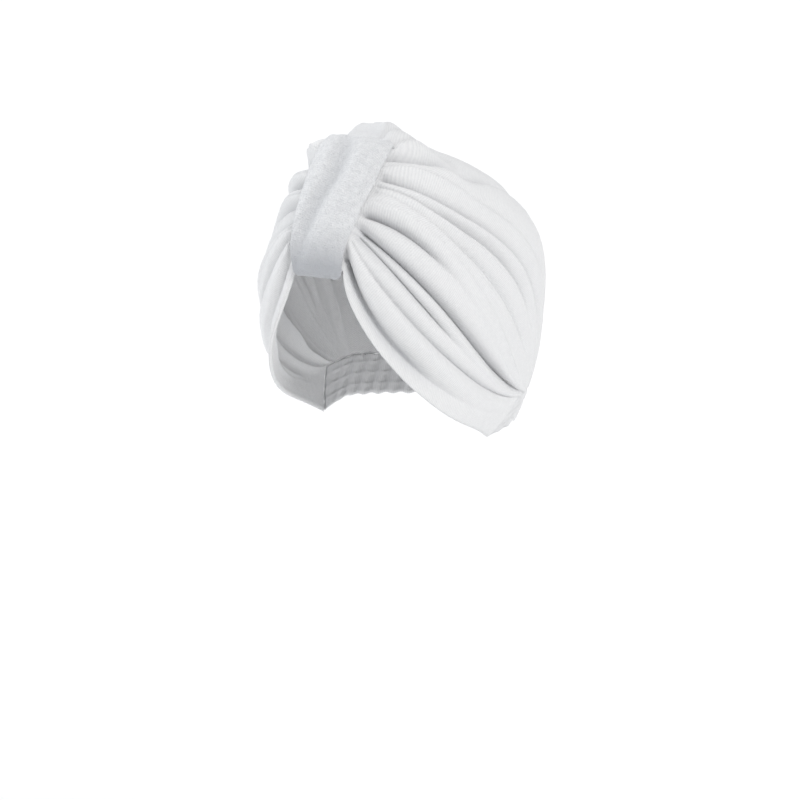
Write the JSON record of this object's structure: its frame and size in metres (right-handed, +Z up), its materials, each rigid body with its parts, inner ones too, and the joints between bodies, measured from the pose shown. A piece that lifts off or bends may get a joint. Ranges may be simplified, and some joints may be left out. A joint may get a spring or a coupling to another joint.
{
  "type": "turban hat",
  "caption": "Soft terry turban hat in its worn form: a pleated crown gathered under a flat front band, with folds that fan back to an elastic nape gather.",
  "frame": {"origin": "the seat on the head: the point inside the crown where it rests on the top of the wearer's head, on the middle line", "axes": "-Y forwards, out of the wearer's forehead; +X to the wearer's left; +Z up"},
  "size_m": [0.1549, 0.1813, 0.1822],
  "materials": {
    "terry_knit": "matte",
    "band_terry": "matte",
    "nape_rib_knit": "matte"
  },
  "bodies": {
    "root": {"crown": "terry_knit", "front_band": "band_terry", "nape_gather": "nape_rib_knit"}
  },
  "joints": []
}
